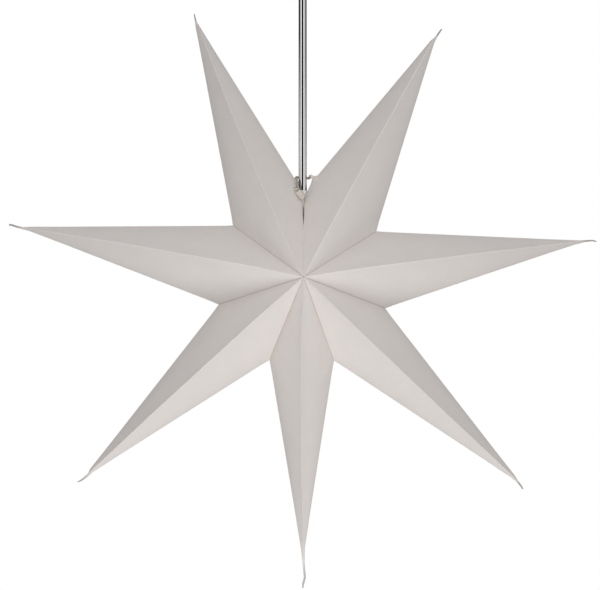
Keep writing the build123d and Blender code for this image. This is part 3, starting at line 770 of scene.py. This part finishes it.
    def add_tabs(self):
        """Adds the glue tabs of all four panels."""
        for pair in (self.front, self.back):
            for facet, valley, side in zip(pair, self.valleys, (1, -1)):
                self.faces.append([self.add(corner) for corner in glue_tab(facet, valley, side)])

    def cut_notch(self, work):
        """Cuts the corner beside the slit away for the stem, and draws out the lug."""
        foot = Vector((0, 0, (NOTCH_FOOT + DROP) * MM))
        for slit in self.slits:
            if slit:
                away = notch_away(slit)
                geometry = work.verts[:] + work.edges[:] + work.faces[:]
                bmesh.ops.bisect_plane(work, geom=geometry, plane_co=foot, plane_no=away, clear_outer=True)
        if self.lug:
            middle = Vector((0, 0, DROP * MM))
            for vert in work.verts:
                vert.co += self.lug.shift((vert.co - middle) / MM) * MM

    def finish(self, mesh):
        """Stores the marks, joins the faces at the side folds and cuts the notch."""
        for label, values in self.marks.items():
            layer = mesh.attributes.new(label, "FLOAT", "POINT")
            layer.data.foreach_set("value", values)
        work = bmesh.new()
        work.from_mesh(mesh)
        bmesh.ops.remove_doubles(work, verts=work.verts, dist=WELD * MM)
        self.cut_notch(work)
        bmesh.ops.recalc_face_normals(work, faces=work.faces)
        work.to_mesh(mesh)
        work.free()
        mesh.shade_smooth()

    def build(self):
        """Paper piece in place of the point's solid."""
        rows = self.rows()
        ring = self.add_face(self.front, rows, True)
        ring += self.add_face(self.back, rows, False)[::-1]
        self.add_tail(ring)
        self.add_tabs()
        name = self.point.name
        obj = placed("paper_point_" + name, self.verts, self.faces, "star")
        self.finish(obj.data)
        thicken(obj)
        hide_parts("star_point_" + name)
        paint(obj, "paper")


def thicken(obj):
    """Gives a sheet its thickness and crisp rims."""
    sheet = obj.modifiers.new("paper", "SOLIDIFY")
    sheet.thickness = PAPER * MM
    sheet.offset = -1.0
    rims = obj.modifiers.new("rims", "EDGE_SPLIT")
    rims.split_angle = math.radians(RIM_ANGLE)


def star():
    """Seven paper points round the star, from the slit clockwise back to it."""
    total = sum(point.spread for point in POINTS)
    last = len(POINTS) - 1
    turn = TURN
    for index, point in enumerate(POINTS):
        following = turn + point.spread * 360.0 / total
        slits = (1 if index == 0 else 0, -1 if index == last else 0)
        StarPoint(index, (turn, following), slits).build()
        turn = following


# Tie
def centreline(name, points):
    """Smooth line of a string through its route, in millimetres from the notch's foot."""
    curve = bpy.data.curves.new(name, "CURVE")
    curve.dimensions = "3D"
    line = curve.splines.new("NURBS")
    line.points.add(len(points) - 1)
    for spot, place in zip(line.points, points):
        spot.co = (*place, 1.0)
    line.order_u = 3
    line.use_endpoint_u = True
    holder = linked(name, curve)
    mesh = bpy.data.meshes.new_from_object(holder)
    spots = [vertex.co + Vector((0, 0, NOTCH_FOOT)) for vertex in mesh.vertices]
    bpy.data.objects.remove(holder)
    bpy.data.meshes.remove(mesh)
    return spots


def evenly(line, step):
    """Points at even steps along a line."""
    spots = [line[0]]
    left = step
    for here, there in zip(line, line[1:]):
        run = (there - here).length
        while run >= left:
            here = here + (there - here).normalized() * left
            spots.append(here)
            run -= left
            left = step
        left -= run
    return spots + [line[-1]]


def skin(first, rings, sides, faces):
    """Adds the faces that join rings of corners and close both ends."""
    for k in range(rings - 1):
        for j in range(sides):
            here = first + k * sides + j
            beside = first + k * sides + (j + 1) % sides
            faces.append([here, beside, beside + sides, here + sides])
    faces.append([first + j for j in reversed(range(sides))])
    faces.append([first + (rings - 1) * sides + j for j in range(sides)])


def twisted(line, verts, faces):
    """Adds a string of twisted strands along a line."""
    sides = LOBE_SIDES * STRING_LOBES
    spots = evenly(line, STRING_STEP)
    last = len(spots) - 1
    first = len(verts)
    up = (spots[1] - spots[0]).normalized().orthogonal().normalized()
    for k, spot in enumerate(spots):
        way = (spots[min(k + 1, last)] - spots[max(k - 1, 0)]).normalized()
        up = (up - way * up.dot(way)).normalized()
        side = way.cross(up)
        lay = 2 * math.pi * STRING_STEP * k / STRING_LAY
        for j in range(sides):
            angle = 2 * math.pi * j / sides
            groove = STRING_GROOVE * (1 - math.cos(STRING_LOBES * (angle - lay)))
            around = up * math.cos(angle) + side * math.sin(angle)
            verts.append(spot + around * (STRING / 2 * (1 - groove)))
    skin(first, len(spots), sides, faces)


class Winding:
    """String wound round an axis, drawn in at both ends."""

    def __init__(self, middle, axis, turns, core):
        self.middle = middle
        self.axis = axis.normalized()
        self.up = self.axis.orthogonal().normalized()
        self.side = self.axis.cross(self.up)
        self.turns = turns
        self.core = core
        self.half = (turns - 1) * STRING / 2

    def spot(self, share, angle, swell=1.0):
        """Place round the axis, at a share of the half length."""
        radius = self.core * (1 - WIND_DRAW * share ** WIND_POWER) * swell
        around = self.up * math.cos(angle) + self.side * math.sin(angle)
        return self.middle + self.axis * (self.half * share) + around * radius

    def line(self):
        """Line of the string."""
        count = self.turns * WIND_STEPS
        return [self.spot(2 * k / count - 1, 2 * math.pi * k / WIND_STEPS) for k in range(count + 1)]

    def fill(self, verts, faces):
        """Adds the string's bulk inside the turns."""
        first = len(verts)
        for k in range(CORE_RINGS + 1):
            for j in range(CORE_SIDES):
                verts.append(self.spot(2 * k / CORE_RINGS - 1, 2 * math.pi * j / CORE_SIDES, CORE_SWELL))
        skin(first, CORE_RINGS + 1, CORE_SIDES, faces)


def painted_string_shade(spot):
    """How much painted shade the string has at a place: above the knot, beside and behind the stem."""
    above = smooth((spot.z - NOTCH_FOOT - STRING_SHADE_START) / STRING_SHADE_EASE)
    return above * smooth((STRING_SHADE_END - spot.x) / STRING_SHADE_EASE)


def string_piece(name, node, lines, windings):
    """One piece of the tie, made of laid strings and windings."""
    verts = []
    faces = []
    for line in lines:
        twisted(line, verts, faces)
    for winding in windings:
        twisted(winding.line(), verts, faces)
    for winding in windings:
        winding.fill(verts, faces)
    obj = placed(name, verts, faces, "star")
    # mark of the painted shade on the string
    string_shade = obj.data.attributes.new("string_shade", "FLOAT", "POINT")
    string_shade.data.foreach_set("value", [painted_string_shade(spot) for spot in verts])
    obj.data.shade_smooth()
    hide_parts(node)
    paint(obj, "cotton")


def tie():
    """Strings, knot and stops of the tie round the stem."""
    left = centreline("left_route", STRING_LEFT)
    right = centreline("right_route", STRING_RIGHT)
    knot = Winding(KNOT_MIDDLE + Vector((0, 0, NOTCH_FOOT)), KNOT_AXIS, KNOT_TURNS, KNOT_CORE)
    left_stop = Winding(left[0], left[1] - left[0], STOP_TURNS, STOP_CORE)
    right_stop = Winding(right[-1], right[-1] - right[-2], STOP_TURNS, STOP_CORE)
    string_piece("tie_left", "tie_string_left", [left], [])
    string_piece("tie_right", "tie_string_right", [right], [])
    string_piece("tie_wraps", "tie_knot", [], [knot])
    string_piece("tie_ends", "tie_stops", [], [left_stop, right_stop])


# Camera and studio
def place_camera():
    """Camera in front of the star."""
    camera = linked("camera", bpy.data.cameras.new("camera"))
    camera.location = CAMERA_PLACE
    level = math.cos(CAMERA_PITCH)
    look = Vector((math.sin(CAMERA_YAW) * level, math.cos(CAMERA_YAW) * level, math.sin(CAMERA_PITCH)))
    camera.rotation_euler = look.to_track_quat("-Z", "Y").to_euler()
    camera.data.lens = CAMERA_LENS
    camera.data.sensor_width = CAMERA_SENSOR
    camera.data.clip_start = CAMERA_NEAR
    bpy.context.scene.camera = camera


def broad_lamp(name, azimuth, elevation, power):
    """Disc of light that faces the star's middle."""
    lamp = bpy.data.lights.new(name, "AREA")
    lamp.shape = "DISK"
    lamp.size = LAMP_SIZE
    lamp.energy = power
    holder = linked(name, lamp)
    around = math.radians(azimuth)
    up = math.radians(elevation)
    away = Vector((math.sin(around) * math.cos(up), -math.cos(around) * math.cos(up), math.sin(up)))
    holder.location = away * LAMP_DISTANCE + Vector((0, 0, DROP * MM))
    holder.rotation_euler = (-away).to_track_quat("-Z", "Y").to_euler()
    holder.visible_camera = False
    holder.visible_glossy = False


def glow(name, level):
    """Plain material that shines evenly."""
    mat = bpy.data.materials.new(name)
    mat.use_nodes = True
    tree = mat.node_tree
    tree.nodes.clear()
    shine = tree.nodes.new("ShaderNodeEmission")
    shine.inputs["Color"].default_value = (level, level, level, 1.0)
    out = tree.nodes.new("ShaderNodeOutputMaterial")
    tree.links.new(shine.outputs["Emission"], out.inputs["Surface"])
    mat.cycles.emission_sampling = "NONE"
    return mat


def studio_panel(name, start, end, level):
    """Upright panel round the object that only gloss sees."""
    verts = []
    for k in range(PANEL_STEPS + 1):
        angle = math.radians(start + (end - start) * k / PANEL_STEPS)
        for height in (-PANEL_HALF_HEIGHT, PANEL_HALF_HEIGHT):
            verts.append((PANEL_DISTANCE * math.sin(angle), -PANEL_DISTANCE * math.cos(angle), height))
    faces = [[2 * k, 2 * k + 1, 2 * k + 3, 2 * k + 2] for k in range(PANEL_STEPS)]
    mesh = bpy.data.meshes.new(name)
    mesh.from_pydata(verts, [], faces)
    mesh.materials.append(glow(name, level))
    panel = linked(name, mesh)
    panel.visible_camera = False
    panel.visible_diffuse = False
    panel.visible_shadow = False
    panel.visible_transmission = False
    panel.visible_volume_scatter = False


def shader_mix(tree, factor, first, second):
    """Two surfaces mixed by a factor."""
    mix = tree.nodes.new("ShaderNodeMixShader")
    tree.links.new(factor, mix.inputs["Fac"])
    tree.links.new(first, mix.inputs[1])
    tree.links.new(second, mix.inputs[2])
    return mix.outputs["Shader"]


def floor_fade(tree):
    """Share of white in the floor, from its middle to its edge."""
    place = tree.nodes.new("ShaderNodeTexCoord")
    length = tree.nodes.new("ShaderNodeVectorMath")
    length.operation = "LENGTH"
    tree.links.new(place.outputs["Object"], length.inputs[0])
    fade = tree.nodes.new("ShaderNodeMapRange")
    fade.inputs["From Min"].default_value = FLOOR_RADIUS * FLOOR_FADE_START
    fade.inputs["From Max"].default_value = FLOOR_RADIUS * FLOOR_FADE_END
    tree.links.new(length.outputs["Value"], fade.inputs["Value"])
    return fade.outputs["Result"]


def floor_material():
    """Pale floor that turns into the white background at its edge and is clear from below."""
    mat = bpy.data.materials.new("floor")
    mat.use_nodes = True
    tree = mat.node_tree
    surface = tree.nodes["Principled BSDF"]
    surface.inputs["Base Color"].default_value = (FLOOR_LEVEL, FLOOR_LEVEL, FLOOR_LEVEL, 1.0)
    surface.inputs["Roughness"].default_value = FLOOR_ROUGHNESS
    surface.inputs["Specular IOR Level"].default_value = 0.0
    shine = tree.nodes.new("ShaderNodeEmission")
    side = tree.nodes.new("ShaderNodeNewGeometry")
    clear = tree.nodes.new("ShaderNodeBsdfTransparent")
    top = shader_mix(tree, floor_fade(tree), surface.outputs["BSDF"], shine.outputs["Emission"])
    one_way = shader_mix(tree, side.outputs["Backfacing"], top, clear.outputs["BSDF"])
    tree.links.new(one_way, tree.nodes["Material Output"].inputs["Surface"])
    mat.cycles.emission_sampling = "NONE"
    return mat


def lay_floor():
    """Round floor below the object."""
    disc = bpy.data.meshes.new("floor")
    work = bmesh.new()
    bmesh.ops.create_circle(work, cap_ends=True, segments=FLOOR_SIDES, radius=FLOOR_RADIUS)
    work.to_mesh(disc)
    work.free()
    disc.materials.append(floor_material())
    floor = linked("floor", disc)
    floor.location = (0, 0, FLOOR_HEIGHT)
    floor.visible_shadow = False
    floor.visible_diffuse = False


def soft_light(tree, towards_it, level):
    """Light that is strongest from one side and fades out at a right angle to it."""
    place = tree.nodes.new("ShaderNodeTexCoord")
    facing = tree.nodes.new("ShaderNodeVectorMath")
    facing.operation = "DOT_PRODUCT"
    tree.links.new(place.outputs["Generated"], facing.inputs[0])
    facing.inputs[1].default_value = towards_it
    lit = combined(tree, "MAXIMUM", facing.outputs["Value"], 0.0)
    return combined(tree, "MULTIPLY", combined(tree, "POWER", lit, SOFT_POWER), level)


def surroundings():
    """White to the eye and to gloss and glass, with soft light on the object."""
    world = bpy.data.worlds.new("studio")
    world.use_nodes = True
    tree = world.node_tree
    ground = tree.nodes["Background"]
    ground.inputs["Color"].default_value = (1, 1, 1, 1)
    path = tree.nodes.new("ShaderNodeLightPath")
    seen = combined(tree, "ADD", path.outputs["Is Camera Ray"], path.outputs["Is Glossy Ray"])
    seen = combined(tree, "ADD", seen, path.outputs["Is Transmission Ray"])
    light = 0.0
    for towards_it, level in SOFT_LIGHTS:
        light = combined(tree, "ADD", soft_light(tree, towards_it, level), light)
    mix = tree.nodes.new("ShaderNodeMix")
    tree.links.new(seen, mix.inputs["Factor"])
    tree.links.new(light, mix.inputs[2])
    mix.inputs[3].default_value = 1.0
    tree.links.new(mix.outputs[0], ground.inputs["Strength"])
    bpy.context.scene.world = world


make_materials()
star()
tie()
place_camera()
for lamp in LAMPS:
    broad_lamp(*lamp)
for panel in PANELS:
    studio_panel(*panel)
lay_floor()
surroundings()
bpy.context.scene.view_settings.view_transform = "Standard"
